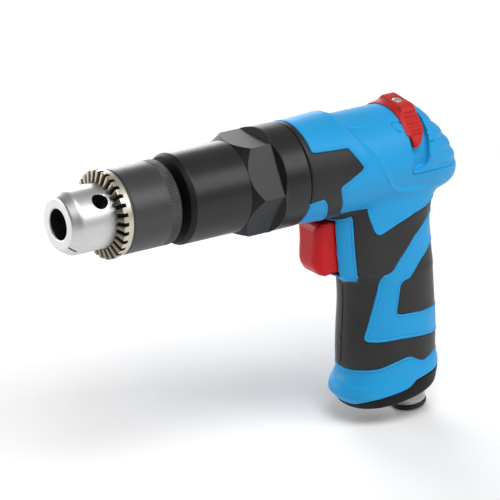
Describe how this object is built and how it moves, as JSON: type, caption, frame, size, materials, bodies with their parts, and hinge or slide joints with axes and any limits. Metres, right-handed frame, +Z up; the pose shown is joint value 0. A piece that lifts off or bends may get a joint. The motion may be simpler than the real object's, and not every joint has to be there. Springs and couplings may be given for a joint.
{
  "type": "air drill",
  "caption": "Pistol-grip pneumatic drill with a keyed chuck, planetary gear and vane motor, trigger throttle and thumb lever for reverse.",
  "frame": {"origin": "centre of the chuck bore at the chuck's front face", "axes": "+X out of the chuck along the spindle, +Y to the tool's left, +Z up, away from the grip"},
  "size_m": [0.1872, 0.0432, 0.1385],
  "materials": {
    "nose_steel": "bright turned steel",
    "sleeve_steel": "dark grey semi-matte steel",
    "black_metal": "satin black",
    "machined_steel": "machined",
    "dark_fastener": "blackened",
    "vane_composite": "phenolic composite",
    "brass": "machined",
    "blue_plastic": "satin moulded",
    "black_rubber": "matt soft touch",
    "red_plastic": "satin moulded",
    "nickel": "satin nickel plate",
    "black_plastic": "fine texture",
    "felt": "pressed wool"
  },
  "bodies": {
    "drill_body": {"gear_case": "black_metal", "hex_collar": "black_metal", "housing_insert": "machined_steel", "ring_gear": "machined_steel", "spindle_bearing_outer": "machined_steel", "bearing_circlip": "dark_fastener", "front_end_plate": "machined_steel", "front_bearing_outer": "machined_steel", "motor_cylinder": "machined_steel", "rear_end_plate": "machined_steel", "rear_bearing_outer": "machined_steel", "alignment_pin": "machined_steel", "housing": "blue_plastic", "grip_overmould": "black_rubber", "valve_seat": "brass", "valve_spring": "machined_steel", "inlet_bushing": "nickel", "inlet_screen": "brass", "inlet_guard_ring": "black_rubber", "inlet_seal": "black_rubber", "bottom_cover": "black_plastic", "muffler_felt": "felt", "cover_screws": "nickel"},
    "spindle": {"chuck_body": "nose_steel", "chuck_screw": "dark_fastener", "spindle": "machined_steel", "planet_pins": "machined_steel", "spindle_bearing_inner": "machined_steel"},
    "chuck_sleeve": {"chuck_sleeve": "sleeve_steel", "chuck_nut": "machined_steel"},
    "jaw_1": {"chuck_jaw_1": "machined_steel"},
    "jaw_2": {"chuck_jaw_2": "machined_steel"},
    "jaw_3": {"chuck_jaw_3": "machined_steel"},
    "planet_1": {"planet_gear_1": "machined_steel"},
    "planet_2": {"planet_gear_2": "machined_steel"},
    "planet_3": {"planet_gear_3": "machined_steel"},
    "rotor": {"rotor": "machined_steel", "rotor_vanes": "vane_composite", "front_bearing_inner": "machined_steel", "rear_bearing_inner": "machined_steel"},
    "spindle_balls": {"spindle_bearing_balls": "machined_steel"},
    "front_balls": {"front_bearing_balls": "machined_steel"},
    "rear_balls": {"rear_bearing_balls": "machined_steel"},
    "trigger": {"trigger": "red_plastic", "trigger_stem": "machined_steel"},
    "throttle_valve": {"throttle_valve": "brass"},
    "reverse_lever": {"reverse_lever": "red_plastic", "lever_screw": "nickel", "reverse_valve": "brass"}
  },
  "joints": [
    {"name": "spindle_spin", "type": "hinge", "parent": "drill_body", "child": "spindle", "pos_m": [-0.057, 0, 0], "axis": [1, 0, 0], "continuous": true},
    {"name": "chuck_sleeve_turn", "type": "hinge", "parent": "spindle", "child": "chuck_sleeve", "pos_m": [-0.025, 0, 0], "axis": [1, 0, 0], "range_deg": [0, 2947.2]},
    {"name": "jaw_1_slide", "type": "slide", "parent": "spindle", "child": "jaw_1", "axis": [0.9397, -0.3333, 0.0769], "range_m": [0, 0.0123]},
    {"name": "jaw_2_slide", "type": "slide", "parent": "spindle", "child": "jaw_2", "axis": [0.9397, 0.2333, 0.2501], "range_m": [0, 0.0123]},
    {"name": "jaw_3_slide", "type": "slide", "parent": "spindle", "child": "jaw_3", "axis": [0.9397, 0.1, -0.3271], "range_m": [0, 0.0123]},
    {"name": "planet_1_spin", "type": "hinge", "parent": "spindle", "child": "planet_1", "pos_m": [-0.0714, 0, 0.00877], "axis": [1, 0, 0], "continuous": true},
    {"name": "planet_2_spin", "type": "hinge", "parent": "spindle", "child": "planet_2", "pos_m": [-0.0714, 0.0076, -0.00439], "axis": [1, 0, 0], "continuous": true},
    {"name": "planet_3_spin", "type": "hinge", "parent": "spindle", "child": "planet_3", "pos_m": [-0.0714, -0.0076, -0.00439], "axis": [1, 0, 0], "continuous": true},
    {"name": "rotor_spin", "type": "hinge", "parent": "drill_body", "child": "rotor", "pos_m": [-0.1173, 0, 0], "axis": [1, 0, 0], "continuous": true},
    {"name": "spindle_balls_spin", "type": "hinge", "parent": "drill_body", "child": "spindle_balls", "pos_m": [-0.057, 0, 0], "axis": [1, 0, 0], "continuous": true},
    {"name": "front_balls_spin", "type": "hinge", "parent": "drill_body", "child": "front_balls", "pos_m": [-0.0888, 0, 0], "axis": [1, 0, 0], "continuous": true},
    {"name": "rear_balls_spin", "type": "hinge", "parent": "drill_body", "child": "rear_balls", "pos_m": [-0.1458, 0, 0], "axis": [1, 0, 0], "continuous": true},
    {"name": "trigger_slide", "type": "slide", "parent": "drill_body", "child": "trigger", "axis": [-1, 0, 0], "range_m": [0, 0.0055], "stiffness_N_per_m": 1500, "springref_m": -0.002},
    {"name": "throttle_slide", "type": "slide", "parent": "drill_body", "child": "throttle_valve", "axis": [-1, 0, 0], "range_m": [0, 0.0055], "deforming": ["valve_spring"]},
    {"name": "reverse_turn", "type": "hinge", "parent": "drill_body", "child": "reverse_lever", "pos_m": [-0.1586, 0, 0], "axis": [1, 0, 0], "range_deg": [-15, 29]}
  ],
  "couplings": [
    {"joint": "jaw_1_slide", "follows": "chuck_sleeve_turn", "m_per_rad": 0.00023873},
    {"joint": "jaw_2_slide", "follows": "chuck_sleeve_turn", "m_per_rad": 0.00023873},
    {"joint": "jaw_3_slide", "follows": "chuck_sleeve_turn", "m_per_rad": 0.00023873},
    {"joint": "planet_1_spin", "follows": "spindle_spin", "ratio": -2.8},
    {"joint": "planet_2_spin", "follows": "spindle_spin", "ratio": -2.8},
    {"joint": "planet_3_spin", "follows": "spindle_spin", "ratio": -2.8},
    {"joint": "rotor_spin", "follows": "spindle_spin", "ratio": 4.5},
    {"joint": "spindle_balls_spin", "follows": "spindle_spin", "ratio": 0.38},
    {"joint": "front_balls_spin", "follows": "spindle_spin", "ratio": 1.8155},
    {"joint": "rear_balls_spin", "follows": "spindle_spin", "ratio": 1.8},
    {"joint": "throttle_slide", "follows": "trigger_slide", "ratio": 1}
  ]
}
